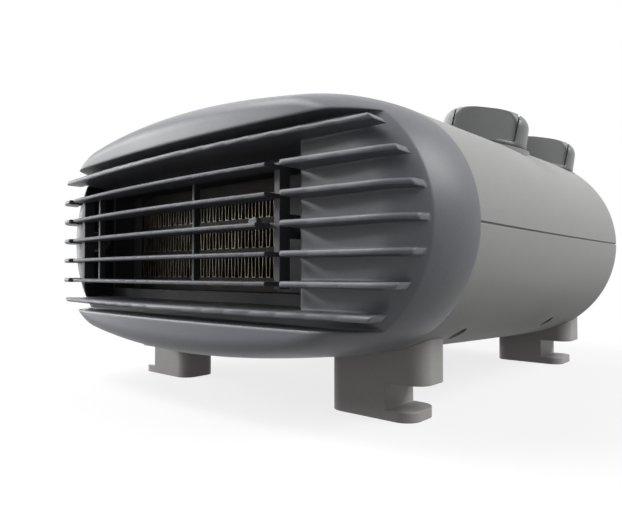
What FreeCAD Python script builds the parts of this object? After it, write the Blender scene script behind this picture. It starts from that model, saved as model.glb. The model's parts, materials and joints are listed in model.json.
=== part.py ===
import FreeCAD, Part
import math
import os

V = FreeCAD.Vector
along_x = V(1, 0, 0)
along_y = V(0, 1, 0)
along_z = V(0, 0, 1)

# Frame: millimetres, +Z up, front faces -Y, origin on the floor under the middle of the heater.

# Oval housing: half sizes of its section at three stations along the depth
mid_z = 74.5
front_half_w = 120.0
front_half_h = 53.0
joint_y = -89.0
waist_half_w = 118.7
waist_half_h = 59.5
waist_y = 40.0
rear_half_w = 120.9
rear_half_h = 62.3
rear_y = 130.4
rear_round = 29.0
end_relief = 5.0
wall = 2.5
seam_groove_w = 0.8
seam_groove_d = 0.7

# Bowed nose of the front moulding
nose_y = -132.0
bow_r = 800.0
side_r = 52.0
lip_half_h = 36.6
shoulder_depth = 43.5
shoulder_power = 4.0
rim_round = 5.0
nose_overrun = 1.0
nose_sections = 12
spigot_depth = 6.0
spigot_wall = 2.0
spigot_clear = 0.3
spigot_root = 4.0

# Recess with its flat panel, seven fins and the outlet window left of the control bay
panel_y = -118.2
panel_half_h = 60.0
panel_round = 20.0
fin_corner_r = 22.0
fin_reach_half_w = 113.2
fin_reach_half_h = 48.4
fin_count = 7
fin_pitch = 10.6
fin_t = 2.2
fin_edge_r = 1.0
fin_root = 0.6
window_left = -97.0
window_right = 65.0
sleeve_t = 2.5
sleeve_y = -100.0

# Tilting louvre and its bushes
louvre_gap = 7.0
slat_t = 1.7
slat_edge_r = 0.7
slat_back_y = -120.5
louvre_axis_y = -111.5
end_rib_t = 2.6
end_rib_front_y = -122.0
end_rib_depth = 5.5
end_rib_over = 2.0
arm_half_h = 4.5
arm_overlap = 1.5
rib_t = 1.3
rib_depth = 3.0
rib_sink = 1.0
inner_rib_x = (-72.8, 6.3)
tab_short = 4.5
tab_w = 4.0
tab_h = 1.6
pin_r = 2.0
pin_run = 0.04
bush_r = 3.6
bush_seat_clear = 0.02
bush_flange_r = 5.6
bush_flange_t = 1.2

# Outlet duct from the fan ring to the window
duct_half_h = 26.0
duct_side_gap = 2.0
duct_t = 1.8
duct_flange_t = 2.0
duct_straight_end_y = -64.0
fan_ring_y = -50.0

# Ceramic heater in the duct
heater_y = -88.0
heater_depth = 14.0
holder_left_w = 8.0
holder_right_w = 39.0
fin_row_h = 11.0
fin_rows = 3
bar_h = 3.0
wave_pitch = 4.8
wave_flat = 2.0
wave_t = 0.35
terminal_w = 6.3
terminal_t = 0.8
terminal_len = 9.0
cutout_r = 8.0
cutout_h = 6.0
cutout_ear_w = 24.0
cutout_ear_t = 1.0
fuse_r = 2.0
fuse_len = 16.0
fuse_clip_t = 1.2

# Axial fan, its ring and its motor
fan_ring_r = 47.5
ring_t = 2.0
ring_back_y = -24.0
fan_tip_gap = 1.5
hub_r = 15.0
hub_front_y = -47.0
hub_back_y = -31.0
hub_round = 3.0
blade_count = 7
blade_t = 1.6
blade_root_chord = 15.0
blade_tip_chord = 28.0
blade_root_pitch_deg = 48.0
blade_tip_pitch_deg = 24.0
blade_camber = 2.4
shaft_r = 2.5
shaft_clear = 0.02
arm_count = 4
arm_w = 7.0
arm_t = 4.0
mount_disc_r = 32.0
mount_hole_r = 9.0
pedestal_w = 40.0
pedestal_depth = 16.0
bracket_t = 3.0
bracket_w = 14.0
bracket_half_len = 29.0
post_r = 4.0
post_len = 9.0
bearing_r = 5.5
bearing_len = 8.0
bearing_seat_t = 2.0
bearing_run = 0.04
core_len = 20.0
core_half_w = 30.0
core_half_h = 20.0
core_leg_w = 12.0
core_leg_drop = 24.0
rotor_r = 14.0
rotor_gap = 0.5
rotor_over = 1.0
coil_len = 32.0
coil_build = 7.0
coil_gap = 0.4
motor_screw_x = 23.0
motor_screw_r = 1.5
motor_screw_clear = 0.1
motor_head_r = 3.0
motor_head_h = 2.2

# Intake grille in the back wall
intake_half_w = 64.0
intake_half_h = 22.0
intake_clear = 0.2
intake_flange = 4.0
intake_flange_t = 1.8
intake_rim = 3.5
slot_h = 3.6
slot_pitch = 6.2
slot_rib_w = 3.0
slot_columns = 5

# Two rotary controls on the right shoulder, leaning with the shell
knob_x = 76.0
knob_lean_deg = 12.8
knob_front_y = 14.4
knob_rear_y = 96.0
collar_r = 24.4
pocket_depth = 4.0
pocket_gap = 0.6
knob_r = 22.6
knob_top_r = 21.3
knob_h = 17.6
knob_round = 8.0
knob_gap = 0.5
knob_rest_deg = 23.0
scoop_r = 70.0
scoop_depth = 8.6
scoop_floor = 2.0
groove_x = 15.1
groove_w = 0.9
groove_d = 0.8
spindle_r = 3.0
spindle_clear = 0.03
spindle_top = 9.5
hole_r = 4.6
control_drop = 16.0
control_plate_t = 1.5
control_plate_half_w = 13.0
control_plate_over = 26.0
control_post_r = 3.5
control_pilot_clear = 0.05
control_post_y = 22.0
control_screw_r = 1.4
control_screw_len = 9.0
control_head_r = 2.8
control_head_h = 2.0
stem_r = 4.0
stem_clear = 0.1
stem_top = -5.0
stat_w = 26.0
stat_len = 32.0
stat_h = 15.0
switch_r = 15.0
switch_h = 18.0
switch_base_h = 5.0
switch_base_half_w = 15.5

# Feet with a groove for winding the cord
foot_inner_x = 49.5
foot_outer_x = 95.0
foot_neck_x = 78.5
foot_flange_x = 90.0
foot_round = 7.0
foot_flange_h = 4.0
foot_groove_top = 14.6
front_foot_y = -73.5
front_foot_len = 21.0
rear_foot_y = 107.0
rear_foot_len = 26.0
foot_top_z = 60.0
foot_screw_r = 2.0
foot_screw_len = 18.0
foot_screw_clear = 0.1
foot_head_r = 4.0
foot_head_h = 2.4
foot_bore_r = 4.6
foot_bore_top = 14.0
foot_boss_r = 5.0
foot_boss_top = 36.0

# Screws that hold the two shells together
boss_x = 96.0
boss_front_y = -58.0
boss_rear_y = 50.0
boss_r = 4.5
boss_pilot_r = 1.5
boss_pilot_clear = 0.05
boss_bore_r = 3.7
boss_seat_drop = 28.0
shell_screw_grip = 10.0
shell_head_r = 3.4
shell_head_h = 2.4

# Mains inlet
gland_x = 68.0
gland_drop = 12.0
gland_r = 6.0
gland_bore_r = 3.6
gland_flange_r = 8.5
gland_flange_t = 1.6
gland_seat_clear = 0.05
block_x = 80.0
block_y = 10.0
block_w = 20.0
block_len = 34.0
block_h = 13.0
block_pad_drop = 34.0
block_ways = 3
block_hole_r = 2.2

# Distance below which two points count as one
touch = 0.01

fins_z = [mid_z + fin_pitch * ((fin_count - 1) / 2 - i) for i in range(fin_count)]
window_half_h = fin_pitch * (fin_count - 1) / 2 - fin_t / 2
duct_left = window_left + duct_side_gap
duct_right = window_right - duct_side_gap
heater_left = duct_left + holder_left_w
heater_right = duct_right - holder_right_w
fan_x = (window_left + window_right) / 2
corner_x = front_half_w - fin_corner_r
bow_y = nose_y + bow_r
corner_y = bow_y - math.sqrt((bow_r - fin_corner_r) ** 2 - corner_x ** 2)
louvre_left = window_left + louvre_gap
louvre_right = window_right - louvre_gap
stack_half_h = (fin_rows * fin_row_h + (fin_rows - 1) * bar_h) / 2
core_front_y = ring_back_y + bracket_t + post_len
core_back_y = core_front_y + core_len
motor_back_y = core_back_y + post_len + bracket_t
pocket_r = knob_r + pocket_gap
knob_base = knob_gap - pocket_depth
plate_bottom = -control_drop - control_plate_t
foot_screw_x = (foot_inner_x + foot_neck_x) / 2
far = 2 * (rear_y - nose_y)


def box(x0, x1, y0, y1, z0, z1):
    return Part.makeBox(x1 - x0, y1 - y0, z1 - z0, V(x0, y0, z0))


def rod(radius, start, end):
    return Part.makeCylinder(radius, (end - start).Length, start, end - start)


def tube(outer_r, inner_r, start, end):
    return rod(outer_r, start, end).cut(rod(inner_r, start, end))


def fuse(shapes):
    joined = shapes[0].multiFuse(shapes[1:])
    return joined.removeSplitter()


def edges_where(shape, test):
    return [edge for edge in shape.Edges if test(edge)]


def is_upright(edge):
    first = edge.Vertexes[0].Point
    last = edge.Vertexes[-1].Point
    sideways = math.hypot(last.x - first.x, last.y - first.y)
    return sideways < touch < abs(last.z - first.z)


def oval_wire(half_w, half_h, y):
    # Four arcs: two tight ends and two long flanks, tangent where they meet.
    end_r = half_h - end_relief
    end_x = half_w - end_r
    flank_r = (end_x ** 2 + half_h ** 2 - end_r ** 2) / (2 * (half_h - end_r))
    lean = math.atan2(end_x, flank_r - half_h)
    join_x = end_x + end_r * math.sin(lean)
    join_z = end_r * math.cos(lean)
    upper_left = V(-join_x, y, mid_z + join_z)
    upper_right = V(join_x, y, mid_z + join_z)
    lower_right = V(join_x, y, mid_z - join_z)
    lower_left = V(-join_x, y, mid_z - join_z)
    top = Part.Arc(upper_left, V(0, y, mid_z + half_h), upper_right)
    right = Part.Arc(upper_right, V(half_w, y, mid_z), lower_right)
    bottom = Part.Arc(lower_right, V(0, y, mid_z - half_h), lower_left)
    left = Part.Arc(lower_left, V(-half_w, y, mid_z), upper_left)
    return Part.Wire([arc.toShape() for arc in (top, right, bottom, left)])


def oval_prism(half_w, half_h, y0, y1):
    face = Part.Face(oval_wire(half_w, half_h, y0))
    return face.extrude(V(0, y1 - y0, 0))


def housing_solid(inset, back_inset):
    stations = [
        (front_half_w, front_half_h, joint_y),
        (waist_half_w, waist_half_h, waist_y),
        (rear_half_w, rear_half_h, rear_y - back_inset),
    ]
    wires = [oval_wire(w - inset, h - inset, y) for w, h, y in stations]
    solid = Part.makeLoft(wires, True, False)
    rim = edges_where(solid, lambda edge: edge.BoundBox.YMin > rear_y - back_inset - wall)
    return solid.makeFillet(rear_round - inset, rim)


def nose_half_w(y):
    return front_half_w - side_r + math.sqrt(side_r ** 2 - (joint_y - y) ** 2)


def nose_half_h(y):
    # Nearly level at first, then rolling over ever faster towards the lip.
    reach = min((joint_y - y) / shoulder_depth, 1)
    full = max(1 - max(reach, 0) ** shoulder_power, 0)
    return lip_half_h + (front_half_h - lip_half_h) * full ** (1 / shoulder_power)


def nose_solid(inset, start_y):
    end_y = nose_y - nose_overrun
    wires = []
    for i in range(nose_sections):
        turn = math.pi / 2 * i / (nose_sections - 1)
        y = start_y + (end_y - start_y) * math.sin(turn)
        wires.append(oval_wire(nose_half_w(y) - inset, nose_half_h(y) - inset, y))
    return Part.makeLoft(wires, True, False)


def is_on_bow(edge):
    offsets = [math.hypot(point.x, point.y - bow_y) - bow_r for point in edge.discretize(nose_sections)]
    return max(abs(offset) for offset in offsets) < touch


def panel_solid(inset):
    # Flat in the middle, rolling back all round its oval edge.
    front_y = panel_y + inset
    pad = oval_prism(front_half_w - inset, panel_half_h - inset, front_y, far)
    rim = edges_where(pad, lambda edge: edge.BoundBox.YMax < front_y + touch)
    return pad.makeFillet(panel_round - inset, rim)


def plan_slab(thickness, edge_r):
    # Slab with the plan outline of the fins, centred on the middle height, its front edges rounded.
    z = mid_z - thickness / 2
    sweep = math.atan2(corner_x, bow_y - corner_y)
    join_x = bow_r * math.sin(sweep)
    join_y = bow_y - bow_r * math.cos(sweep)
    half = math.pi / 4 + sweep / 2
    arc_x = corner_x + fin_corner_r * math.sin(half)
    arc_y = corner_y - fin_corner_r * math.cos(half)
    back_left = V(-front_half_w, joint_y, z)
    side_left = V(-front_half_w, corner_y, z)
    bow_left = V(-join_x, join_y, z)
    bow_right = V(join_x, join_y, z)
    side_right = V(front_half_w, corner_y, z)
    back_right = V(front_half_w, joint_y, z)
    edges = [
        Part.LineSegment(back_left, side_left).toShape(),
        Part.Arc(side_left, V(-arc_x, arc_y, z), bow_left).toShape(),
        Part.Arc(bow_left, V(0, nose_y, z), bow_right).toShape(),
        Part.Arc(bow_right, V(arc_x, arc_y, z), side_right).toShape(),
        Part.LineSegment(side_right, back_right).toShape(),
        Part.LineSegment(back_right, back_left).toShape(),
    ]
    slab = Part.Face(Part.Wire(edges)).extrude(V(0, 0, thickness))
    front = edges_where(slab, lambda edge: edge.BoundBox.YMax <= corner_y + edge_r and not is_upright(edge))
    return slab.makeFillet(edge_r, front)


def fixed_fins():
    # Full fins above and below the window, the rest as stubs beside it.
    blade = plan_slab(fin_t, fin_edge_r).cut(panel_solid(fin_root))
    reach = oval_prism(fin_reach_half_w + fin_root, fin_reach_half_h + fin_root, nose_y - wall, joint_y)
    window = box(window_left, window_right, -far, far, 0, 2 * mid_z)
    fins = []
    for i, z in enumerate(fins_z):
        fin = blade.translated(V(0, 0, z - mid_z)).common(reach)
        if 0 < i < fin_count - 1:
            fin = fin.cut(window)
        fins.append(fin)
    return fins


def front_grille():
    bow = Part.makeCylinder(bow_r, 2 * mid_z, V(0, bow_y, 0))
    plug = nose_solid(0, joint_y).common(bow)
    plug = plug.makeFillet(rim_round, edges_where(plug, is_on_bow))
    lips = box(-far, far, -far, far, mid_z - lip_half_h, mid_z + lip_half_h)
    recess = lips.cut(panel_solid(0))
    cavity = nose_solid(wall, joint_y + nose_overrun).common(panel_solid(wall))
    sleeve_h = window_half_h + sleeve_t
    sleeve = box(window_left - sleeve_t, window_right + sleeve_t, panel_y, sleeve_y,
                 mid_z - sleeve_h, mid_z + sleeve_h).common(panel_solid(0))
    window = box(window_left, window_right, nose_y - wall, sleeve_y,
                 mid_z - window_half_h, mid_z + window_half_h)
    seat_w = front_half_w - wall
    seat_h = front_half_h - wall
    root = oval_prism(seat_w + fin_root, seat_h + fin_root - spigot_clear, joint_y - spigot_root, joint_y)
    spigot = oval_prism(seat_w - spigot_clear, seat_h - spigot_clear, joint_y, joint_y + spigot_depth)
    bore = oval_prism(seat_w - spigot_clear - spigot_wall, seat_h - spigot_clear - spigot_wall,
                      joint_y - spigot_root, joint_y + spigot_depth)
    ring = root.fuse(spigot).cut(bore)
    shell = fuse([plug.cut(recess).cut(cavity), sleeve, ring])
    axis_hole = rod(bush_r + bush_seat_clear,
                    V(window_left - sleeve_t, louvre_axis_y, mid_z),
                    V(window_right + sleeve_t, louvre_axis_y, mid_z))
    return fuse([shell.cut(window).cut(axis_hole)] + fixed_fins())


def louvre():
    blade = plan_slab(slat_t, slat_edge_r)
    reach = box(louvre_left, louvre_right, -far, slat_back_y, 0, 2 * mid_z)
    slat = blade.common(reach)
    slats = [slat.translated(V(0, 0, z - mid_z)) for z in fins_z[1:-1]]
    middle = len(slats) // 2
    tab_end = louvre_right - tab_short
    slats[middle] = slats[middle].cut(box(tab_end, far, -far, end_rib_front_y, 0, 2 * mid_z))
    tab_front = bow_y - math.sqrt(bow_r ** 2 - tab_end ** 2)
    tab = box(tab_end - tab_w, tab_end, tab_front + slat_t / 2, tab_front + 2 * slat_t,
              mid_z, mid_z + slat_t / 2 + tab_h)
    rib_h = fins_z[1] - mid_z
    ribs = []
    for x in inner_rib_x:
        front = slat_back_y - rib_sink
        ribs.append(box(x - rib_t / 2, x + rib_t / 2, front, front + rib_depth, mid_z - rib_h, mid_z + rib_h))
    end_h = rib_h + end_rib_over
    end_back_y = end_rib_front_y + end_rib_depth
    for x in (louvre_left, louvre_right - end_rib_t):
        ribs.append(box(x, x + end_rib_t, end_rib_front_y, end_back_y, mid_z - end_h, mid_z + end_h))
        ribs.append(box(x, x + end_rib_t, end_back_y - arm_overlap, louvre_axis_y,
                        mid_z - arm_half_h, mid_z + arm_half_h))
        ribs.append(rod(arm_half_h, V(x, louvre_axis_y, mid_z), V(x + end_rib_t, louvre_axis_y, mid_z)))
    pins = []
    for inner_x, outer_x in ((louvre_left, window_left - sleeve_t), (louvre_right, window_right + sleeve_t)):
        pins.append(rod(pin_r, V(inner_x, louvre_axis_y, mid_z), V(outer_x, louvre_axis_y, mid_z)))
    return fuse(slats + [tab] + ribs + pins)


def louvre_bush(outer_x, inner_x):
    # Flanged sleeve in a cheek of the window, its flange on the window's side.
    inward = 1 if inner_x > outer_x else -1
    flange_x = inner_x + inward * bush_flange_t
    sleeve = rod(bush_r, V(outer_x, louvre_axis_y, mid_z), V(inner_x, louvre_axis_y, mid_z))
    flange = rod(bush_flange_r, V(inner_x, louvre_axis_y, mid_z), V(flange_x, louvre_axis_y, mid_z))
    bore = rod(pin_r + pin_run, V(outer_x, louvre_axis_y, mid_z), V(flange_x, louvre_axis_y, mid_z))
    return fuse([sleeve, flange]).cut(bore)


def surface_z(solid, x, y):
    line = Part.makeLine(V(x, y, mid_z), V(x, y, 2 * mid_z))
    return solid.common(line).BoundBox.ZMax


def leaning(shape, y):
    # From a control's own upright frame to its place on the right shoulder.
    placed = shape.copy()
    placed.rotate(V(0, 0, 0), along_y, knob_lean_deg)
    placed.translate(V(knob_x, y, shoulder_z))
    return placed


def post_places():
    return [y + side * control_post_y for y in (knob_front_y, knob_rear_y) for side in (-1, 1)]


def upper_shell(tube_solid, outer):
    shell = tube_solid.common(box(-far, far, -far, far, mid_z, 2 * far))
    added = []
    removed = []
    for y in (knob_front_y, knob_rear_y):
        cup_bottom = -pocket_depth - wall
        cup = leaning(rod(collar_r, V(0, 0, cup_bottom), V(0, 0, pocket_depth)), y)
        added.append(cup.common(outer))
        added.append(leaning(rod(collar_r, V(0, 0, cup_bottom), V(0, 0, -pocket_depth)), y))
        removed.append(leaning(rod(pocket_r, V(0, 0, -pocket_depth), V(0, 0, knob_h)), y))
        removed.append(leaning(rod(hole_r, V(0, 0, cup_bottom), V(0, 0, 0)), y))
    for y in post_places():
        post = leaning(rod(control_post_r, V(0, 0, -control_drop), V(0, 0, 0)), y)
        added.append(post.common(outer))
        pilot = rod(control_screw_r + control_pilot_clear, V(0, 0, -control_drop),
                    V(0, 0, -control_drop + control_screw_len))
        removed.append(leaning(pilot, y))
    for x, y in boss_places():
        added.append(rod(boss_r, V(x, y, mid_z), V(x, y, 2 * mid_z)).common(outer))
        pilot = rod(boss_pilot_r + boss_pilot_clear, V(x, y, mid_z), V(x, y, mid_z + shell_screw_grip))
        removed.append(pilot)
    return fuse([shell] + added).cut(Part.makeCompound(removed))


def boss_places():
    return [(side * boss_x, y) for side in (-1, 1) for y in (boss_front_y, boss_rear_y)]


def foot_places():
    front = [(side, front_foot_y, front_foot_len) for side in (-1, 1)]
    rear = [(side, rear_foot_y, rear_foot_len) for side in (-1, 1)]
    return front + rear


def lower_shell(tube_solid, outer, inner):
    shell = tube_solid.common(box(-far, far, -far, far, -far, mid_z))
    added = []
    removed = []
    for x, y in boss_places():
        added.append(rod(boss_r, V(x, y, 0), V(x, y, mid_z)).common(outer))
        removed.append(rod(boss_pilot_r + boss_pilot_clear, V(x, y, 0), V(x, y, mid_z)))
        removed.append(rod(boss_bore_r, V(x, y, 0), V(x, y, mid_z - boss_seat_drop)))
    for side, y, length in foot_places():
        x = side * foot_screw_x
        added.append(rod(foot_boss_r, V(x, y, 0), V(x, y, foot_boss_top)).common(inner))
        screw_top = foot_bore_top + foot_screw_len
        removed.append(rod(foot_screw_r + foot_screw_clear, V(x, y, 0), V(x, y, screw_top)))
    pad = box(block_x - block_w / 2, block_x + block_w / 2, block_y - block_len / 2, block_y + block_len / 2,
              0, mid_z - block_pad_drop)
    added.append(pad.common(outer))
    gland_z = mid_z - gland_drop
    removed.append(rod(gland_r + gland_seat_clear, V(gland_x, rear_y - 2 * wall, gland_z),
                       V(gland_x, rear_y + wall, gland_z)))
    return fuse([shell] + added).cut(Part.makeCompound(removed))


def foot_column(outer_x, y, length):
    column = box(foot_inner_x, outer_x, y - length / 2, y + length / 2, 0, foot_top_z)
    return column.makeFillet(foot_round, edges_where(column, is_upright))


def foot(side, y, length, outer):
    # Rounded column up to the shell, with a groove cut in from its outer side over a shorter flange.
    column = foot_column(foot_outer_x, y, length)
    tip = foot_column(foot_flange_x, y, length)
    groove = box(foot_neck_x, far, -far, far, foot_flange_h, foot_groove_top)
    below = box(-far, far, -far, far, -far, foot_flange_h)
    column = column.cut(below).fuse(tip.common(below)).removeSplitter()
    bore = rod(foot_bore_r, V(foot_screw_x, y, 0), V(foot_screw_x, y, foot_bore_top))
    hole = rod(foot_screw_r + foot_screw_clear, V(foot_screw_x, y, 0), V(foot_screw_x, y, foot_top_z))
    shaped = column.cut(Part.makeCompound([groove, bore, hole]))
    if side < 0:
        shaped = shaped.mirror(V(0, 0, 0), along_x)
    return shaped.cut(outer)


def foot_screw(side, y):
    x = side * foot_screw_x
    head = rod(foot_head_r, V(x, y, foot_bore_top - foot_head_h), V(x, y, foot_bore_top))
    shank = rod(foot_screw_r, V(x, y, foot_bore_top), V(x, y, foot_bore_top + foot_screw_len))
    return fuse([head, shank])


def shell_screw(x, y):
    seat = mid_z - boss_seat_drop
    head = rod(shell_head_r, V(x, y, seat - shell_head_h), V(x, y, seat))
    shank = rod(boss_pilot_r, V(x, y, seat), V(x, y, mid_z + shell_screw_grip))
    return fuse([head, shank])


def intake_oval(grow, y0, y1):
    return oval_prism(intake_half_w + grow, intake_half_h + grow, y0, y1).translated(V(fan_x, 0, 0))


def rear_grille():
    inner_y = rear_y - wall
    plug = intake_oval(-intake_clear, inner_y, rear_y)
    flange = intake_oval(intake_flange, inner_y - intake_flange_t, inner_y)
    field = intake_oval(-intake_rim, inner_y - intake_flange_t, rear_y)
    rows = int((intake_half_h - intake_rim) / slot_pitch)
    column_w = 2 * intake_half_w / slot_columns
    slots = []
    for row in range(-rows, rows + 1):
        z = mid_z + row * slot_pitch
        for column in range(slot_columns):
            x = fan_x - intake_half_w + column * column_w
            slots.append(box(x + slot_rib_w / 2, x + column_w - slot_rib_w / 2,
                             inner_y - intake_flange_t, rear_y, z - slot_h / 2, z + slot_h / 2))
    return fuse([plug, flange]).cut(Part.makeCompound(slots).common(field))


def duct_rectangle(grow, y):
    left = duct_left - grow
    right = duct_right + grow
    top = mid_z + duct_half_h + grow
    bottom = mid_z - duct_half_h - grow
    corners = [V(right, y, top), V(left, y, top), V(left, y, bottom), V(right, y, bottom), V(right, y, top)]
    return Part.makePolygon(corners)


def duct_circle(grow, y):
    # Quarter arcs whose ends face the rectangle's corners.
    radius = fan_ring_r + grow
    reach = radius * math.sqrt(2) / 2
    right_top = V(fan_x + reach, y, mid_z + reach)
    left_top = V(fan_x - reach, y, mid_z + reach)
    left_low = V(fan_x - reach, y, mid_z - reach)
    right_low = V(fan_x + reach, y, mid_z - reach)
    arcs = [
        Part.Arc(right_top, V(fan_x, y, mid_z + radius), left_top),
        Part.Arc(left_top, V(fan_x - radius, y, mid_z), left_low),
        Part.Arc(left_low, V(fan_x, y, mid_z - radius), right_low),
        Part.Arc(right_low, V(fan_x + radius, y, mid_z), right_top),
    ]
    return Part.Wire([arc.toShape() for arc in arcs])


def outlet_duct():
    def body(grow):
        straight = box(duct_left - grow, duct_right + grow, sleeve_y, duct_straight_end_y,
                       mid_z - duct_half_h - grow, mid_z + duct_half_h + grow)
        wires = [duct_rectangle(grow, duct_straight_end_y), duct_circle(grow, fan_ring_y)]
        return straight.fuse(Part.makeLoft(wires, True, True))
    flange_h = window_half_h + sleeve_t
    flange = box(window_left - sleeve_t, window_right + sleeve_t, sleeve_y, sleeve_y + duct_flange_t,
                 mid_z - flange_h, mid_z + flange_h)
    return fuse([body(duct_t), flange]).cut(body(0))


def heater_holder(x0, x1):
    return box(x0, x1, heater_y, heater_y + heater_depth, mid_z - duct_half_h, mid_z + duct_half_h)


def stack_z(row):
    # Bottom of a fin row in the stack, counted from the lowest one.
    return mid_z - stack_half_h + row * (fin_row_h + bar_h)


def heater_fin_row(row):
    # Corrugated strip folded between two bars, its folds running front to back.
    length = heater_right - heater_left
    folds = int((length - wave_flat - wave_t) / (wave_pitch / 2))
    start = heater_left + (length - folds * wave_pitch / 2) / 2
    base = stack_z(row)
    wide = (wave_flat + wave_t) / 2
    narrow = (wave_flat - wave_t) / 2
    upper = []
    lower = []
    for i in range(folds + 1):
        x = start + i * wave_pitch / 2
        crest = i % 2 == 0
        over = wide if crest else narrow
        under = narrow if crest else wide
        top = base + (fin_row_h if crest else wave_t)
        upper.extend([V(x - over, heater_y, top), V(x + over, heater_y, top)])
        lower.extend([V(x - under, heater_y, top - wave_t), V(x + under, heater_y, top - wave_t)])
    outline = upper + lower[::-1]
    face = Part.Face(Part.makePolygon(outline + outline[:1]))
    return face.extrude(V(0, heater_depth, 0))


def heater_bar(row):
    z = stack_z(row) + fin_row_h
    return box(heater_left, heater_right, heater_y, heater_y + heater_depth, z, z + bar_h)


def heater_edge_plate(z0, z1):
    # Fills the space between the stack and the duct's wall.
    return box(heater_left, heater_right, heater_y, heater_y + heater_depth, z0, z1)


def heater_terminal(row):
    z = stack_z(row) + fin_row_h + bar_h / 2
    back = heater_y + heater_depth
    x = duct_right - holder_right_w / 2
    return box(x - terminal_t / 2, x + terminal_t / 2, back, back + terminal_len,
               z - terminal_w / 2, z + terminal_w / 2)


def thermal_cutout():
    z = mid_z + duct_half_h + duct_t
    y = heater_y + heater_depth / 2
    ears = box(fan_x - cutout_ear_w / 2, fan_x + cutout_ear_w / 2, y - cutout_r / 2, y + cutout_r / 2,
               z, z + cutout_ear_t)
    can = rod(cutout_r, V(fan_x, y, z), V(fan_x, y, z + cutout_h))
    return fuse([ears, can])


def thermal_fuse():
    # Capsule clipped behind the left holder.
    x = duct_left + holder_left_w / 2
    back = heater_y + heater_depth
    y = back + fuse_clip_t + fuse_r
    capsule = rod(fuse_r, V(x, y, mid_z - fuse_len / 2), V(x, y, mid_z + fuse_len / 2))
    clip = box(x - fuse_r, x + fuse_r, back, y, mid_z - fuse_r, mid_z + fuse_r)
    return fuse([capsule, clip])


def fan_shroud(inner):
    front_y = fan_ring_y
    disc_y = ring_back_y - arm_t
    centre = V(fan_x, 0, mid_z)
    outer_r = fan_ring_r + ring_t
    ring = tube(outer_r, fan_ring_r, V(fan_x, front_y, mid_z), V(fan_x, ring_back_y, mid_z))
    disc = rod(mount_disc_r, V(fan_x, disc_y, mid_z), V(fan_x, ring_back_y, mid_z))
    bore = rod(mount_hole_r, V(fan_x, disc_y, mid_z), V(fan_x, ring_back_y, mid_z))
    arms = []
    for i in range(arm_count):
        arm = box(fan_x + mount_hole_r, fan_x + fan_ring_r + ring_t / 2, disc_y, ring_back_y,
                  mid_z - arm_w / 2, mid_z + arm_w / 2)
        arm.rotate(centre, along_y, (i + 1 / 2) * 360 / arm_count)
        arms.append(arm)
    mid_y = (front_y + ring_back_y) / 2
    pedestal = box(fan_x - pedestal_w / 2, fan_x + pedestal_w / 2, mid_y - pedestal_depth / 2,
                   mid_y + pedestal_depth / 2, 0, 2 * mid_z).common(inner)
    pedestal = pedestal.cut(rod(outer_r - ring_t / 2, V(fan_x, front_y, mid_z), V(fan_x, ring_back_y, mid_z)))
    screws = [rod(motor_screw_r + motor_screw_clear, V(x, disc_y, mid_z), V(x, ring_back_y, mid_z))
              for x in motor_screw_places()]
    return fuse([ring, disc, pedestal] + arms).cut(Part.makeCompound([bore] + screws))


def blade_section(radius, chord, pitch_deg):
    pitch = math.radians(pitch_deg)
    chord_dir = V(math.cos(pitch), math.sin(pitch), 0)
    normal = V(-math.sin(pitch), math.cos(pitch), 0)
    middle = V(fan_x, (hub_front_y + hub_back_y) / 2, mid_z + radius)
    lead = middle - chord_dir * (chord / 2)
    trail = middle + chord_dir * (chord / 2)
    skin = normal * blade_t
    crest = middle + normal * blade_camber
    edges = [
        Part.Arc(lead, crest, trail).toShape(),
        Part.LineSegment(trail, trail + skin).toShape(),
        Part.Arc(trail + skin, crest + skin, lead + skin).toShape(),
        Part.LineSegment(lead + skin, lead).toShape(),
    ]
    return Part.Wire(edges)


def fan_impeller():
    tip_r = fan_ring_r - fan_tip_gap
    hub = rod(hub_r, V(fan_x, hub_front_y, mid_z), V(fan_x, hub_back_y, mid_z))
    nose = edges_where(hub, lambda edge: edge.BoundBox.YMax < hub_front_y + hub_round)
    hub = hub.makeFillet(hub_round, nose)
    root = blade_section(hub_r - blade_t, blade_root_chord, blade_root_pitch_deg)
    tip = blade_section(tip_r + blade_t, blade_tip_chord, blade_tip_pitch_deg)
    swept = rod(tip_r, V(fan_x, fan_ring_y, mid_z), V(fan_x, ring_back_y, mid_z))
    blade = Part.makeLoft([root, tip], True, True).common(swept)
    blades = []
    for i in range(blade_count):
        turned = blade.copy()
        turned.rotate(V(fan_x, 0, mid_z), along_y, i * 360 / blade_count)
        blades.append(turned)
    bore = rod(shaft_r + shaft_clear, V(fan_x, hub_front_y + hub_round, mid_z), V(fan_x, hub_back_y, mid_z))
    return fuse([hub] + blades).cut(bore)


def motor_screw_places():
    return [fan_x + side * motor_screw_x for side in (-1, 1)]


def motor_bracket(plate_y, toward):
    # Bridge across the core with a bearing seat in the middle and a post at each screw.
    inner_y = plate_y + toward * bracket_t
    front = min(plate_y, inner_y)
    plate = box(fan_x - bracket_half_len, fan_x + bracket_half_len, front, front + bracket_t,
                mid_z - bracket_w / 2, mid_z + bracket_w / 2)
    seat_end = plate_y + toward * bearing_len
    seat = rod(bearing_r + bearing_seat_t, V(fan_x, plate_y, mid_z), V(fan_x, seat_end, mid_z))
    bore = rod(bearing_r + bush_seat_clear, V(fan_x, plate_y, mid_z), V(fan_x, seat_end, mid_z))
    post_end = inner_y + toward * post_len
    posts = []
    holes = [bore]
    for x in motor_screw_places():
        posts.append(rod(post_r, V(x, plate_y, mid_z), V(x, post_end, mid_z)))
        holes.append(rod(motor_screw_r + motor_screw_clear, V(x, plate_y, mid_z), V(x, post_end, mid_z)))
    return fuse([plate, seat] + posts).cut(Part.makeCompound(holes))


def motor_bearing(plate_y, toward):
    end_y = plate_y + toward * bearing_len
    return tube(bearing_r, shaft_r + bearing_run, V(fan_x, plate_y, mid_z), V(fan_x, end_y, mid_z))


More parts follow.
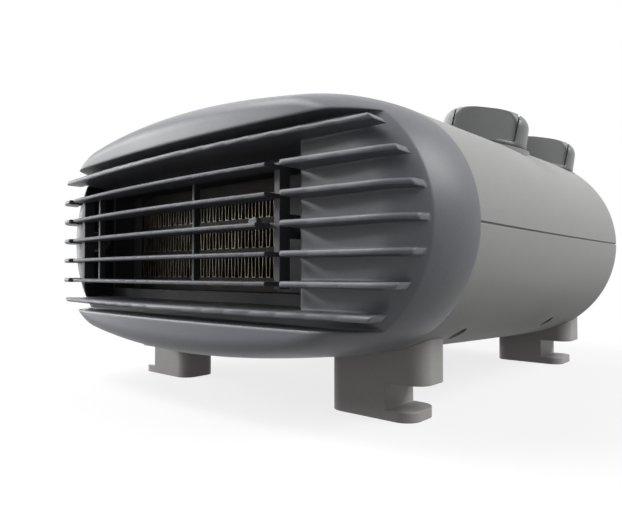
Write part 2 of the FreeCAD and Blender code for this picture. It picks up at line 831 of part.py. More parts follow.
def motor_core():
    leg_bottom = mid_z - core_half_h - core_leg_drop
    block = box(fan_x - core_half_w, fan_x + core_half_w, core_front_y, core_back_y,
                leg_bottom, mid_z + core_half_h)
    slot = box(fan_x - core_half_w + core_leg_w, fan_x + core_half_w - core_leg_w, core_front_y, core_back_y,
               leg_bottom + core_leg_w, mid_z - core_half_h)
    bore = rod(rotor_r + rotor_gap, V(fan_x, core_front_y, mid_z), V(fan_x, core_back_y, mid_z))
    holes = [rod(motor_screw_r + motor_screw_clear, V(x, core_front_y, mid_z), V(x, core_back_y, mid_z))
             for x in motor_screw_places()]
    return block.cut(Part.makeCompound([slot, bore] + holes))


def motor_coil():
    leg_bottom = mid_z - core_half_h - core_leg_drop
    leg_top = leg_bottom + core_leg_w
    wound = box(fan_x - coil_len / 2, fan_x + coil_len / 2,
                core_front_y - coil_build, core_back_y + coil_build,
                leg_bottom - coil_build, leg_top + coil_build)
    lengthwise = edges_where(wound, lambda edge: edge.BoundBox.XLength > coil_build)
    wound = wound.makeFillet(coil_build / 2, lengthwise)
    leg = box(-far, far, core_front_y - coil_gap, core_back_y + coil_gap,
              leg_bottom - coil_gap, leg_top + coil_gap)
    return wound.cut(leg)


def motor_rotor():
    start = V(fan_x, core_front_y - rotor_over, mid_z)
    end = V(fan_x, core_back_y + rotor_over, mid_z)
    return tube(rotor_r, shaft_r + shaft_clear, start, end)


def motor_shaft():
    return rod(shaft_r, V(fan_x, hub_front_y + hub_round, mid_z), V(fan_x, motor_back_y, mid_z))


def motor_screw(x):
    head = rod(motor_head_r, V(x, motor_back_y, mid_z), V(x, motor_back_y + motor_head_h, mid_z))
    shank = rod(motor_screw_r, V(x, ring_back_y - arm_t, mid_z), V(x, motor_back_y, mid_z))
    return fuse([head, shank])


def knob_blank(inset):
    # Slightly tapered drum with a broad rounded shoulder.
    drum = Part.makeCone(knob_r - inset, knob_top_r - inset, knob_h - inset, V(0, 0, knob_base))
    rim = edges_where(drum, lambda edge: edge.BoundBox.ZMin > knob_base + knob_h / 2)
    return drum.makeFillet(knob_round - inset, rim)


def knob(y):
    floor = knob_base + scoop_floor
    top = knob_base + 2 * knob_h
    shape = knob_blank(0)
    lines = []
    for side in (-1, 1):
        centre_y = side * (knob_r + scoop_r - scoop_depth)
        shape = shape.cut(rod(scoop_r, V(0, centre_y, floor), V(0, centre_y, top)))
        x = side * (groove_x + groove_w / 2)
        lines.append(box(x - groove_w / 2, x + groove_w / 2, -2 * knob_r, 2 * knob_r, floor, top))
    grooves = Part.makeCompound(lines).cut(knob_blank(groove_d))
    bore = rod(spindle_r + spindle_clear, V(0, 0, knob_base), V(0, 0, spindle_top))
    shape = shape.cut(grooves).cut(bore)
    shape.rotate(V(0, 0, 0), along_z, knob_rest_deg)
    return leaning(shape, y)


def spindle(y):
    return leaning(rod(spindle_r, V(0, 0, plate_bottom), V(0, 0, spindle_top)), y)


def stem(outline, y):
    # Body under the plate with a threaded stem through it, bored for the spindle.
    neck = rod(stem_r, V(0, 0, plate_bottom), V(0, 0, stem_top))
    bore = rod(spindle_r + spindle_clear, V(0, 0, plate_bottom), V(0, 0, stem_top))
    return leaning(fuse([outline, neck]).cut(bore), y)


def thermostat_body():
    case = box(-stat_w / 2, stat_w / 2, -stat_len / 2, stat_len / 2, plate_bottom - stat_h, plate_bottom)
    return stem(case, knob_front_y)


def switch_body():
    bottom = plate_bottom - switch_h
    drum = rod(switch_r, V(0, 0, bottom), V(0, 0, plate_bottom))
    base = box(-switch_base_half_w, switch_base_half_w, -switch_base_half_w, switch_base_half_w,
               bottom, bottom + switch_base_h)
    return stem(fuse([drum, base]), knob_rear_y)


def control_plate():
    middle = (knob_front_y + knob_rear_y) / 2
    half_len = (knob_rear_y - knob_front_y) / 2 + control_plate_over
    plate = box(-control_plate_half_w, control_plate_half_w, -half_len, half_len,
                plate_bottom, -control_drop)
    holes = []
    for y in (knob_front_y, knob_rear_y):
        holes.append(rod(stem_r + stem_clear, V(0, y - middle, -2 * control_drop), V(0, y - middle, 0)))
    screw_hole_r = control_screw_r + control_pilot_clear
    for y in post_places():
        holes.append(rod(screw_hole_r, V(0, y - middle, -2 * control_drop), V(0, y - middle, 0)))
    return leaning(plate.cut(Part.makeCompound(holes)), middle)


def control_screw(y):
    head = rod(control_head_r, V(0, 0, plate_bottom - control_head_h), V(0, 0, plate_bottom))
    shank = rod(control_screw_r, V(0, 0, plate_bottom), V(0, 0, plate_bottom + control_screw_len))
    return leaning(fuse([head, shank]), y)


def terminal_block():
    z = mid_z - block_pad_drop
    block = box(block_x - block_w / 2, block_x + block_w / 2,
                block_y - block_len / 2, block_y + block_len / 2, z, z + block_h)
    step = block_len / block_ways
    holes = []
    for i in range(block_ways):
        y = block_y - block_len / 2 + (i + 1 / 2) * step
        middle_z = z + block_h / 2
        holes.append(rod(block_hole_r, V(block_x - block_w, y, middle_z), V(block_x + block_w, y, middle_z)))
    return block.cut(Part.makeCompound(holes))


def cord_gland():
    z = mid_z - gland_drop
    inside = rear_y - wall
    sleeve = rod(gland_r, V(gland_x, inside, z), V(gland_x, rear_y, z))
    outside = rod(gland_flange_r, V(gland_x, rear_y, z), V(gland_x, rear_y + gland_flange_t, z))
    lock = rod(gland_flange_r, V(gland_x, inside - gland_flange_t, z), V(gland_x, inside, z))
    bore = rod(gland_bore_r, V(gland_x, inside - gland_flange_t, z), V(gland_x, rear_y + gland_flange_t, z))
    return fuse([sleeve, outside, lock]).cut(bore)


outer_solid = housing_solid(0, 0)
inner_solid = housing_solid(wall, wall)
seam = box(-far, far, -far, far, mid_z - seam_groove_w / 2, mid_z + seam_groove_w / 2)
seam_cut = seam.common(outer_solid).cut(housing_solid(seam_groove_d, seam_groove_d))
intake_cut = intake_oval(0, rear_y - 2 * wall, rear_y + wall)
housing_tube = outer_solid.cut(inner_solid).cut(seam_cut).cut(intake_cut)
shoulder_z = surface_z(outer_solid, knob_x, (knob_front_y + knob_rear_y) / 2)

pieces = {
    "upper_shell": upper_shell(housing_tube, outer_solid),
    "lower_shell": lower_shell(housing_tube, outer_solid, inner_solid),
    "front_grille": front_grille(),
    "louvre": louvre(),
    "louvre_bush_left": louvre_bush(window_left - sleeve_t, window_left),
    "louvre_bush_right": louvre_bush(window_right + sleeve_t, window_right),
    "outlet_duct": outlet_duct(),
    "heater_holder_left": heater_holder(duct_left, heater_left),
    "heater_holder_right": heater_holder(heater_right, duct_right),
    "heater_fins": Part.makeCompound([heater_fin_row(row) for row in range(fin_rows)]),
    "heater_bars": Part.makeCompound([heater_bar(row) for row in range(fin_rows - 1)]),
    "heater_edge_plates": Part.makeCompound([
        heater_edge_plate(mid_z - duct_half_h, mid_z - stack_half_h),
        heater_edge_plate(mid_z + stack_half_h, mid_z + duct_half_h),
    ]),
    "heater_terminals": Part.makeCompound([heater_terminal(row) for row in range(fin_rows - 1)]),
    "thermal_cutout": thermal_cutout(),
    "thermal_fuse": thermal_fuse(),
    "fan_shroud": fan_shroud(inner_solid),
    "fan_impeller": fan_impeller(),
    "motor_shaft": motor_shaft(),
    "motor_rotor": motor_rotor(),
    "motor_core": motor_core(),
    "motor_coil": motor_coil(),
    "motor_bracket_front": motor_bracket(ring_back_y, 1),
    "motor_bracket_rear": motor_bracket(motor_back_y, -1),
    "motor_bearing_front": motor_bearing(ring_back_y, 1),
    "motor_bearing_rear": motor_bearing(motor_back_y, -1),
    "motor_screws": Part.makeCompound([motor_screw(x) for x in motor_screw_places()]),
    "rear_grille": rear_grille(),
    "thermostat_knob": knob(knob_front_y),
    "thermostat_spindle": spindle(knob_front_y),
    "thermostat_body": thermostat_body(),
    "mode_knob": knob(knob_rear_y),
    "mode_spindle": spindle(knob_rear_y),
    "mode_switch_body": switch_body(),
    "control_plate": control_plate(),
    "control_screws": Part.makeCompound([control_screw(y) for y in post_places()]),
    "terminal_block": terminal_block(),
    "cord_gland": cord_gland(),
    "shell_screws": Part.makeCompound([shell_screw(x, y) for x, y in boss_places()]),
    "foot_screws": Part.makeCompound([foot_screw(side, y) for side, y, length in foot_places()]),
}
for side, y, length in foot_places():
    place = "front" if y < 0 else "rear"
    hand = "left" if side < 0 else "right"
    pieces["foot_" + place + "_" + hand] = foot(side, y, length, outer_solid)

os.makedirs("parts", exist_ok=True)
for name, shape in pieces.items():
    shape.exportStep("parts/" + name + ".step")
    print(name, len(shape.Solids), round(shape.Volume), shape.isValid())
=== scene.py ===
import bpy
import json
import math
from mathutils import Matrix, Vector


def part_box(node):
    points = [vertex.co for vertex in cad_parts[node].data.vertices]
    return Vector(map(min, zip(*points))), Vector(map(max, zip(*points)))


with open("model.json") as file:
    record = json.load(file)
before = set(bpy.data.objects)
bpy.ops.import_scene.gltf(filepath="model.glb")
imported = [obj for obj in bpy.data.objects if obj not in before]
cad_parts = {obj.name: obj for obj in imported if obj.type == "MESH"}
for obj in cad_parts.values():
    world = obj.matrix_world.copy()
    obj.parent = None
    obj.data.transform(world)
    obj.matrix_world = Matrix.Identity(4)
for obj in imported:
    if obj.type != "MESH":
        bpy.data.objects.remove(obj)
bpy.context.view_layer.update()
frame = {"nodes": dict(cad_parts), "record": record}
scene = bpy.context.scene
mm = 0.001
print("stage: frame loaded,", len(frame["nodes"]), "CAD nodes")


def linear(hexText):
    channels = [int(hexText[i:i + 2], 16) / 255 for i in (1, 3, 5)]
    return [c / 12.92 if c <= 0.04045 else ((c + 0.055) / 1.055) ** 2.4 for c in channels] + [1.0]


# Keys of inputs are socket names or numbers. A value that is a socket is linked, any other is set.
def addNode(tree, kind, inputs=None, **settings):
    node = tree.nodes.new(kind)
    for key, value in settings.items():
        setattr(node, key, value)
    for key, value in (inputs or {}).items():
        if isinstance(value, bpy.types.NodeSocket):
            tree.links.new(value, node.inputs[key])
        else:
            node.inputs[key].default_value = value
    return node


def startMaterial(name):
    material = bpy.data.materials.new(name)
    material.use_nodes = True
    tree = material.node_tree
    tree.nodes.clear()
    place = addNode(tree, "ShaderNodeTexCoord").outputs["Object"]
    return material, tree, place


# Most values of a noise texture lie in the wide span. The narrow one gives patches with clearer edges.
wideSpan = {"From Min": 0.3, "From Max": 0.7}
narrowSpan = {"From Min": 0.35, "From Max": 0.65}

# What hands do to a moulded edge, and the painted highlight that its lighter edge colour also gives.
edgeRubAndHighlight = {
    "startCosine": 0.99, "fullCosine": 0.8,  # between the flat normal and the rounded one
    # The edge colour stands both for rubbing and for a painted highlight along the edge.
    "rubAndHighlightShare": 0.35,  # share of the edge colour where the rubbing is full
    "smoother": 0.08}  # roughness that it takes off there

# What the mould and the flowing plastic leave on a surface.
moulding = {
    "glossier": 0.04, "duller": 0.05,  # roughness that flow marks take off and add
    "grainDepth": 0.5}  # as a share of the grain's width


# The brow over and under the fins sweeps widely into the shoulder, while its lip and the fins stay crisp.
def browRadius(tree, place, radius, brow):
    height = addNode(tree, "ShaderNodeSeparateXYZ", {"Vector": place}).outputs["Z"]
    fromMiddle = addNode(tree, "ShaderNodeMath", {0: height, 1: brow["middle"]}, operation="SUBTRACT")
    away = addNode(tree, "ShaderNodeMath", {0: fromMiddle.outputs["Value"]}, operation="ABSOLUTE")
    widened = addNode(tree, "ShaderNodeMapRange", {
        "Value": away.outputs["Value"], "From Min": brow["lipMm"] * mm, "From Max": brow["topMm"] * mm,
        "To Min": radius, "To Max": brow["roundMm"] * mm})
    return widened.outputs["Result"]


# Edges are rounded in shading alone. Where a narrow round turns the normal away: rubbing and a painted
# highlight.
def softEdge(tree, place, look):
    radius = look.get("roundMm", look["edgeMm"]) * mm
    if "brow" in look:
        radius = browRadius(tree, place, radius, look["brow"])
    rounded = addNode(tree, "ShaderNodeBevel", {"Radius": radius}, samples=8)
    narrow = addNode(tree, "ShaderNodeBevel", {"Radius": look["edgeMm"] * mm}, samples=4)
    flat = addNode(tree, "ShaderNodeNewGeometry")
    agree = addNode(tree, "ShaderNodeVectorMath", {
        0: narrow.outputs["Normal"], 1: flat.outputs["Normal"]}, operation="DOT_PRODUCT")
    edgeWearAndHighlight = addNode(tree, "ShaderNodeMapRange", {
        "Value": agree.outputs["Value"],
        "From Min": edgeRubAndHighlight["startCosine"], "From Max": edgeRubAndHighlight["fullCosine"]})
    return rounded.outputs["Normal"], edgeWearAndHighlight.outputs["Result"]


# Painted shade: near-black painted inside a box-shaped opening, up to its front edge, where deep shade falls.
def paintShadeIntoOpening(tree, place, colour, shadeBox):
    fromMiddle = addNode(tree, "ShaderNodeVectorMath", {0: place, 1: shadeBox["middle"]}, operation="SUBTRACT")
    reach = addNode(tree, "ShaderNodeVectorMath", {0: fromMiddle.outputs["Vector"]}, operation="ABSOLUTE")
    within = addNode(tree, "ShaderNodeVectorMath", {
        0: [half * mm for half in shadeBox["halfMm"]], 1: reach.outputs["Vector"]}, operation="SUBTRACT")
    axes = addNode(tree, "ShaderNodeSeparateXYZ", {"Vector": within.outputs["Vector"]})
    level = addNode(tree, "ShaderNodeMath", {
        0: axes.outputs["X"], 1: axes.outputs["Y"]}, operation="MINIMUM")
    least = addNode(tree, "ShaderNodeMath", {
        0: level.outputs["Value"], 1: axes.outputs["Z"]}, operation="MINIMUM")
    cover = addNode(tree, "ShaderNodeMapRange", {
        "Value": least.outputs["Value"], "From Min": 0.0, "From Max": shadeBox["fadeMm"] * mm})
    painted = addNode(tree, "ShaderNodeMix", {
        "Factor": cover.outputs["Result"], "A": colour, "B": linear(shadeBox["colour"])}, data_type="RGBA")
    return painted.outputs["Result"]


# Injection-moulded plastic: a spark-eroded mould leaves a fine even grain, so highlights are broad and soft.
# Flow marks shift the tone slightly over a few centimetres. Edges are smoother, and lighter: wear and painted
# highlight.
def mouldedPlastic(name, look):
    material, tree, place = startMaterial(name)
    normal, edgeWearAndHighlight = softEdge(tree, place, look)
    grain = addNode(tree, "ShaderNodeTexNoise", {
        "Vector": place, "Scale": 1 / (look["grainMm"] * mm), "Detail": 2.0, "Roughness": 0.6})
    flow = addNode(tree, "ShaderNodeTexNoise", {
        "Vector": place, "Scale": 1 / (look["flowMm"] * mm), "Detail": 3.0, "Roughness": 0.55})
    speck = addNode(tree, "ShaderNodeTexNoise", {
        "Vector": place, "Scale": 1 / (look["speckMm"] * mm), "Detail": 1.0})
    tone = addNode(tree, "ShaderNodeMapRange", {"Value": flow.outputs["Fac"], **wideSpan})
    body = addNode(tree, "ShaderNodeMix", {
        "Factor": tone.outputs["Result"], "A": linear(look["shade"]), "B": linear(look["colour"])},
        data_type="RGBA")
    # Painted highlight and wear: edges take on part of the lighter edge colour.
    litRubShare = addNode(tree, "ShaderNodeMath", {0: edgeWearAndHighlight, 1: edgeRubAndHighlight["rubAndHighlightShare"]}, operation="MULTIPLY")
    rubbedAndLitEdges = addNode(tree, "ShaderNodeMix", {
        "Factor": litRubShare.outputs["Value"], "A": body.outputs["Result"], "B": linear(look["edge"])},
        data_type="RGBA")
    fleck = addNode(tree, "ShaderNodeMapRange", {
        "Value": speck.outputs["Fac"], **narrowSpan,
        "To Min": 1 - look["fleck"], "To Max": 1 + look["fleck"]})
    flecked = addNode(tree, "ShaderNodeVectorMath", {
        0: rubbedAndLitEdges.outputs["Result"], "Scale": fleck.outputs["Result"]}, operation="SCALE")
    colour = flecked.outputs["Vector"]
    # Painted shade inside the outlet, where the look asks for it.
    if "outletShade" in look:
        colour = paintShadeIntoOpening(tree, place, colour, look["outletShade"])
    rough = addNode(tree, "ShaderNodeMapRange", {
        "Value": flow.outputs["Fac"], **wideSpan,
        "To Min": look["rough"] - moulding["glossier"], "To Max": look["rough"] + moulding["duller"]})
    smooth = addNode(tree, "ShaderNodeMath", {
        0: edgeWearAndHighlight, 1: -edgeRubAndHighlight["smoother"], 2: rough.outputs["Result"]}, operation="MULTIPLY_ADD")
    bump = addNode(tree, "ShaderNodeBump", {
        "Height": grain.outputs["Fac"], "Strength": look["grainStrength"],
        "Distance": look["grainMm"] * mm * moulding["grainDepth"], "Normal": normal})
    shader = addNode(tree, "ShaderNodeBsdfPrincipled", {
        "Base Color": colour, "Roughness": smooth.outputs["Value"], "IOR": look["ior"],
        "Normal": bump.outputs["Normal"]})
    addNode(tree, "ShaderNodeOutputMaterial", {"Surface": shader.outputs["BSDF"]})
    return material


# What rolling or drawing leaves on a metal.
rollLines = {
    "glossier": 0.08, "duller": 0.1,  # roughness that the lines take off and add
    "strength": 0.25, "depthMm": 0.05}


# Rolled or drawn metal: fine lines along the rolling direction, a dull tarnish in patches.
def drawnMetal(name, look):
    material, tree, place = startMaterial(name)
    stretched = addNode(tree, "ShaderNodeMapping", {
        "Vector": place, "Scale": [1 / (length * mm) for length in look["lineMm"]]})
    lines = addNode(tree, "ShaderNodeTexNoise", {
        "Vector": stretched.outputs["Vector"], "Scale": 1.0, "Detail": 2.0})
    patch = addNode(tree, "ShaderNodeTexNoise", {
        "Vector": place, "Scale": 1 / (look["patchMm"] * mm), "Detail": 3.0})
    tone = addNode(tree, "ShaderNodeMapRange", {"Value": patch.outputs["Fac"], **narrowSpan})
    body = addNode(tree, "ShaderNodeMix", {
        "Factor": tone.outputs["Result"], "A": linear(look["tarnish"]), "B": linear(look["colour"])},
        data_type="RGBA")
    rough = addNode(tree, "ShaderNodeMapRange", {
        "Value": lines.outputs["Fac"], **wideSpan,
        "To Min": look["rough"] - rollLines["glossier"], "To Max": look["rough"] + rollLines["duller"]})
    bump = addNode(tree, "ShaderNodeBump", {
        "Height": lines.outputs["Fac"], "Strength": rollLines["strength"],
        "Distance": rollLines["depthMm"] * mm})
    shader = addNode(tree, "ShaderNodeBsdfPrincipled", {
        "Base Color": body.outputs["Result"], "Metallic": look["metallic"],
        "Roughness": rough.outputs["Result"], "Normal": bump.outputs["Normal"]})
    addNode(tree, "ShaderNodeOutputMaterial", {"Surface": shader.outputs["BSDF"]})
    return material


# The middle of the outlet: of the louvre in width and height, and the front of the duct in depth.
louvreLow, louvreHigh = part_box("louvre")
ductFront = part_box("outlet_duct")[0][1]
outletMiddle = ((louvreLow[0] + louvreHigh[0]) / 2, ductFront, (louvreLow[2] + louvreHigh[2]) / 2)

# Grain and flecks are drawn at 0.5 to 0.9 mm, about twice the real size, so that they show in the render.
plasticLooks = {
    # Shells: pale ABS with an even matt grain, which spreads the light and shows no clear reflection.
    "absShellGrey": {
        "colour": "#AAAAA8", "shade": "#A2A2A0", "edge": "#BEBEBC", "rough": 0.6, "ior": 1.53,
        "edgeMm": 0.4, "grainMm": 0.7, "grainStrength": 0.22, "flowMm": 45, "speckMm": 0.9, "fleck": 0.025},
    # Front moulding and rear grille: dark ABS from a finer mould, with a soft sheen along its bow.
    "absFrontGraphite": {
        "colour": "#6F7076", "shade": "#696A70", "edge": "#909197", "rough": 0.43, "ior": 1.53,
        "edgeMm": 0.9, "roundMm": 1.6, "grainMm": 0.6, "grainStrength": 0.2,
        "flowMm": 35, "speckMm": 0.8, "fleck": 0.03,
        # Painted shade: the inside of the outlet is painted near-black, for the shade that falls in there.
        "outletShade": {"middle": outletMiddle, "halfMm": (82.0, 17.2, 30.7), "fadeMm": 0.4, "colour": "#141416"},
        "brow": {"middle": outletMiddle[2], "lipMm": 37.5, "topMm": 47.0, "roundMm": 9.0}},
    # Louvre: a darker ABS, matt on its slats, with paler edges: rubbing and a painted highlight.
    "absLouvreGraphite": {
        "colour": "#47484D", "shade": "#404146", "edge": "#7C7D82", "rough": 0.5, "ior": 1.53,
        "edgeMm": 0.4, "grainMm": 0.6, "grainStrength": 0.18, "flowMm": 30, "speckMm": 0.8, "fleck": 0.03},
    # Knobs: ABS from a nearly polished mould, the shiniest of the greys, with well rounded rims.
    "absKnobGrey": {
        "colour": "#7A7B7B", "shade": "#727373", "edge": "#989999", "rough": 0.34, "ior": 1.53,
        "edgeMm": 0.7, "roundMm": 3.5, "grainMm": 0.6, "grainStrength": 0.12,
        "flowMm": 20, "speckMm": 0.7, "fleck": 0.02},
    # Feet: a slightly warmer ABS with the deepest grain of the greys, which breaks up any highlight.
    "absFootGrey": {
        "colour": "#B6B3AF", "shade": "#AEABA7", "edge": "#C4C1BD", "rough": 0.5, "ior": 1.53,
        "edgeMm": 0.6, "grainMm": 0.7, "grainStrength": 0.25, "flowMm": 25, "speckMm": 0.9, "fleck": 0.03},
    # Duct, shroud and heater holders: a black glass-filled plastic, dull, with its fibres as flecks.
    "glassFilledBlack": {
        "colour": "#242427", "shade": "#1B1B1E", "edge": "#38383B", "rough": 0.55, "ior": 1.55,
        "edgeMm": 0.3, "grainMm": 0.5, "grainStrength": 0.3, "flowMm": 20, "speckMm": 0.8, "fleck": 0.12},
    # Bushes and spindles: natural acetal, waxy and off-white.
    "acetalNatural": {
        "colour": "#CFCBC0", "shade": "#C4BFB2", "edge": "#DAD7CE", "rough": 0.35, "ior": 1.48,
        "edgeMm": 0.2, "grainMm": 0.5, "grainStrength": 0.1, "flowMm": 15, "speckMm": 0.8, "fleck": 0.02},
    # Impeller and terminal block: plain nylon, milky white with a soft shine.
    "nylonWhite": {
        "colour": "#D6D5CF", "shade": "#CCCBC4", "edge": "#E2E1DC", "rough": 0.42, "ior": 1.53,
        "edgeMm": 0.3, "grainMm": 0.6, "grainStrength": 0.15, "flowMm": 20, "speckMm": 0.8, "fleck": 0.02},
    # Thermal cut-out: pressed phenolic, dark brown and hard, mottled by its filler.
    "phenolicBrown": {
        "colour": "#3A2419", "shade": "#2C1A12", "edge": "#563A2B", "rough": 0.32, "ior": 1.6,
        "edgeMm": 0.3, "grainMm": 0.5, "grainStrength": 0.12, "flowMm": 10, "speckMm": 0.5, "fleck": 0.15},
    # Thermostat and switch bodies: the same in black.
    "phenolicBlack": {
        "colour": "#1E1E20", "shade": "#171719", "edge": "#343437", "rough": 0.34, "ior": 1.6,
        "edgeMm": 0.3, "grainMm": 0.5, "grainStrength": 0.12, "flowMm": 10, "speckMm": 0.5, "fleck": 0.12},
    # Gland: moulded rubber, nearly black and without shine.
    "mouldedRubber": {
        "colour": "#1C1C1C", "shade": "#161616", "edge": "#2C2C2C", "rough": 0.72, "ior": 1.52,
        "edgeMm": 0.4, "grainMm": 0.5, "grainStrength": 0.35, "flowMm": 12, "speckMm": 0.6, "fleck": 0.1}}

# lineMm is how far a line reaches along x, y and z. Lines under 0.3 mm would not show, so none is finer.
metalLooks = {
    # Heater strips: aluminium under a thin chromate skin, a dull brownish grey.
    "chromatedAluminium": {
        "colour": "#9C968A", "tarnish": "#6A6457", "rough": 0.42, "metallic": 1.0,
        "lineMm": (0.3, 6.0, 0.3), "patchMm": 9},
    # Heater bars and edge plates: near-black aluminium, with only part of the metal's shine.
    "darkHeaterAluminium": {
        "colour": "#2A2724", "tarnish": "#1E1C1A", "rough": 0.5, "metallic": 0.6,
        "lineMm": (6.0, 0.3, 0.3), "patchMm": 9},
    # Terminals: stamped brass, bright, with browner patches.
    "stampedBrass": {
        "colour": "#D8B86A", "tarnish": "#B08E4A", "rough": 0.3, "metallic": 1.0,
        "lineMm": (0.3, 4.0, 0.3), "patchMm": 6},
    # Screws, motor shaft, control plate and fuse: zinc plate, bluish white and fairly bright.
    "zincPlatedSteel": {
        "colour": "#C2C4C6", "tarnish": "#A9ABAF", "rough": 0.32, "metallic": 1.0,
        "lineMm": (0.3, 0.3, 3.0), "patchMm": 6},
    # Motor core and rotor: sheets of 0.5 mm stacked along the shaft, seen as fine layers.
    "laminatedSteel": {
        "colour": "#8A8D92", "tarnish": "#6C6F75", "rough": 0.42, "metallic": 1.0,
        "lineMm": (8.0, 0.5, 8.0), "patchMm": 12},
    # Motor brackets: cast aluminium, pale, with an even dull skin and no lines.
    "castAluminium": {
        "colour": "#C9CACC", "tarnish": "#B4B5B8", "rough": 0.48, "metallic": 1.0,
        "lineMm": (0.8, 0.8, 0.8), "patchMm": 8},
    # Motor bearings: sintered bronze, warm and porous.
    "sinteredBronze": {
        "colour": "#B98A55", "tarnish": "#936A3D", "rough": 0.5, "metallic": 1.0,
        "lineMm": (0.4, 0.4, 0.4), "patchMm": 4},
    # Motor coil: copper wire of 0.5 mm under clear enamel, seen as red-brown bands.
    "enamelledCopper": {
        "colour": "#B4673A", "tarnish": "#8F4C28", "rough": 0.3, "metallic": 0.9,
        "lineMm": (0.5, 12.0, 12.0), "patchMm": 10}}

finishes = {name: mouldedPlastic(name, look) for name, look in plasticLooks.items()}
finishes.update({name: drawnMetal(name, look) for name, look in metalLooks.items()})

slotFinish = {
    "shell_grey": "absShellGrey",
    "front_dark": "absFrontGraphite",
    "louvre_dark": "absLouvreGraphite",
    "knob_grey": "absKnobGrey",
    "foot_grey": "absFootGrey",
    "inner_black": "glassFilledBlack",
    "bush_natural": "acetalNatural",
    "heater_aluminium": "chromatedAluminium",
    "terminal_brass": "stampedBrass",
    "cutout_brown": "phenolicBrown",
    "fuse_silver": "zincPlatedSteel",
    "fan_white": "nylonWhite",
    "steel": "zincPlatedSteel",
    "core_steel": "laminatedSteel",
    "bracket_alloy": "castAluminium",
    "bearing_bronze": "sinteredBronze",
    "winding_copper": "enamelledCopper",
    "control_black": "phenolicBlack",
    "block_white": "nylonWhite",
    "gland_rubber": "mouldedRubber"}

# These share a slot with the heater strips, but are darker.
nodeFinish = {"heater_bars": "darkHeaterAluminium", "heater_edge_plates": "darkHeaterAluminium"}

for part in frame["record"]["subparts"]:
    node = frame["nodes"][part["node"]]
    node.data.materials.clear()
    node.data.materials.append(finishes[nodeFinish.get(part["node"], slotFinish[part["material_slot"]])])
print("stage: finishes on every CAD node")


# 1 where a surface is seen, straight on, mirrored or through glass, and 0 where it only lights another.
def seenRay(tree):
    path = addNode(tree, "ShaderNodeLightPath")
    direct = addNode(tree, "ShaderNodeMath", {
        0: path.outputs["Is Camera Ray"], 1: path.outputs["Is Transmission Ray"]}, operation="MAXIMUM")
    seen = addNode(tree, "ShaderNodeMath", {
        0: direct.outputs["Value"], 1: path.outputs["Is Glossy Ray"]}, operation="MAXIMUM")
    return seen.outputs["Value"]


# Matt studio paper, faintly mottled. It is seen as a white sweep that keeps the object's soft shadow and is
# pure white further out. The light that it sends back to the object is that of a dark table.
sweep = {
    "half": 8.0, "mottleMm": 60, "darkTone": 0.93, "paleTone": 0.95,
    "shadowReach": 0.16, "whiteFrom": 0.42,  # metres from the middle of the object
    "whiteNear": 0.8,  # share of pure white beside the object
    "white": "#FFFFFF", "table": "#3A3A3C"}
half = sweep["half"]
corners = [(-half, -half, 0), (half, -half, 0), (half, half, 0), (-half, half, 0)]
floorData = bpy.data.meshes.new("studioFloor")
floorData.from_pydata(corners, [], [(0, 1, 2, 3)])
studioFloor = bpy.data.objects.new("studioFloor", floorData)
scene.collection.objects.link(studioFloor)
paper, tree, place = startMaterial("whitePaper")
mottle = addNode(tree, "ShaderNodeTexNoise", {
    "Vector": place, "Scale": 1 / (sweep["mottleMm"] * mm), "Detail": 2.0})
paperTone = addNode(tree, "ShaderNodeMapRange", {
    "Value": mottle.outputs["Fac"], "To Min": sweep["darkTone"], "To Max": sweep["paleTone"]})
lit = addNode(tree, "ShaderNodeBsdfDiffuse", {"Color": paperTone.outputs["Result"]})
table = addNode(tree, "ShaderNodeBsdfDiffuse", {"Color": linear(sweep["table"])})
bright = addNode(tree, "ShaderNodeEmission", {"Color": linear(sweep["white"]), "Strength": 1.0})
away = addNode(tree, "ShaderNodeVectorMath", {0: place}, operation="LENGTH")
fade = addNode(tree, "ShaderNodeMapRange", {
    "Value": away.outputs["Value"], "From Min": sweep["shadowReach"], "From Max": sweep["whiteFrom"],
    "To Min": sweep["whiteNear"], "To Max": 1.0}, interpolation_type="SMOOTHSTEP")
seenPaper = addNode(tree, "ShaderNodeMixShader", {
    "Fac": fade.outputs["Result"], 1: lit.outputs["BSDF"], 2: bright.outputs["Emission"]})
mixed = addNode(tree, "ShaderNodeMixShader", {
    "Fac": seenRay(tree), 1: table.outputs["BSDF"], 2: seenPaper.outputs["Shader"]})
addNode(tree, "ShaderNodeOutputMaterial", {"Surface": mixed.outputs["Shader"]})
floorData.materials.append(paper)

# A faint cool light from all round, which is plain white where it is seen.
studioAir = {"colour": "#F4F6FA", "strength": 0.12, "white": "#FFFFFF"}
world = bpy.data.worlds.new("studioAir")
scene.world = world
world.use_nodes = True
air = world.node_tree
air.nodes.clear()
dim = addNode(air, "ShaderNodeBackground", {
    "Color": linear(studioAir["colour"]), "Strength": studioAir["strength"]})
white = addNode(air, "ShaderNodeBackground", {"Color": linear(studioAir["white"]), "Strength": 1.0})
sky = addNode(air, "ShaderNodeMixShader", {
    "Fac": seenRay(air), 1: dim.outputs["Background"], 2: white.outputs["Background"]})
addNode(air, "ShaderNodeOutputWorld", {"Surface": sky.outputs["Shader"]})

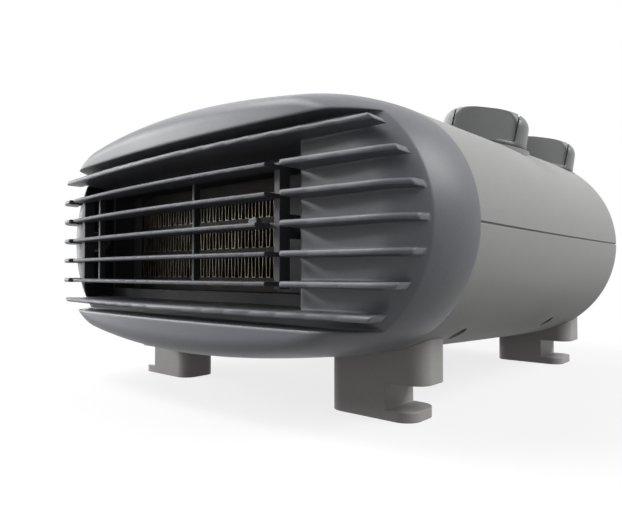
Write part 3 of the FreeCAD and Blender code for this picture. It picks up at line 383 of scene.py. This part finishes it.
# Places and sizes in metres. The two strips stand low, for the gloss on the front band and the knobs.
lamps = {
    "softboxTop": {"at": (-0.5, -0.55, 1.1), "aim": (0.0, -0.1, 0.1), "size": (0.6, 0.6), "watts": 11.5},
    "softboxBack": {"at": (-0.9, 0.45, 0.8), "aim": (0.0, 0.0, 0.1), "size": (0.9, 0.9), "watts": 2.5},
    "softboxLeft": {"at": (-1.0, -0.3, 0.1), "aim": (-0.05, -0.1, 0.06), "size": (0.35, 0.35), "watts": 2.0},
    "softboxRight": {"at": (1.03, 0.38, 0.96), "aim": (0.05, 0.0, 0.1), "size": (0.7, 0.7), "watts": 13.4},
    "softboxFront": {"at": (0.5, -1.1, 0.2), "aim": (0.05, -0.1, 0.02), "size": (0.4, 0.4), "watts": 0.4},
    "stripLeft": {"at": (-0.82, -0.7, 0.45), "aim": (0.0, -0.13, 0.12), "size": (0.6, 0.12), "watts": 6.4},
    "stripKnobs": {"at": (-0.9, 0.42, 0.2), "aim": (0.07, 0.05, 0.14), "size": (0.2, 0.2), "watts": 2.0}}
for name, lamp in lamps.items():
    data = bpy.data.lights.new(name, "AREA")
    data.shape = "RECTANGLE"
    data.size, data.size_y = lamp["size"]
    data.energy = lamp["watts"]
    holder = bpy.data.objects.new(name, data)
    holder.location = lamp["at"]
    towards = Vector(lamp["aim"]) - Vector(lamp["at"])
    holder.rotation_euler = towards.to_track_quat("-Z", "Y").to_euler()
    scene.collection.objects.link(holder)

# The camera fitted to the object's outline: place in metres, angles in degrees, focal length in pixels.
shot = {
    "at": (0.19743, -0.26557, 0.05741), "azimuth": 40.88, "pitch": 1.45, "focalPx": 550.21, "widthPx": 622,
    "sensorMm": 36.0, "nearest": 0.005}
cameraData = bpy.data.cameras.new("photoCamera")
cameraData.sensor_fit = "HORIZONTAL"
cameraData.sensor_width = shot["sensorMm"]
cameraData.lens = shot["focalPx"] / shot["widthPx"] * shot["sensorMm"]
cameraData.clip_start = shot["nearest"]
photoCamera = bpy.data.objects.new("photoCamera", cameraData)
photoCamera.location = shot["at"]
photoCamera.rotation_euler = (math.radians(90 + shot["pitch"]), 0, math.radians(shot["azimuth"]))
scene.collection.objects.link(photoCamera)
scene.camera = photoCamera
scene.view_settings.view_transform = "Standard"
print("stage: floor, light and camera")

bpy.context.view_layer.update()
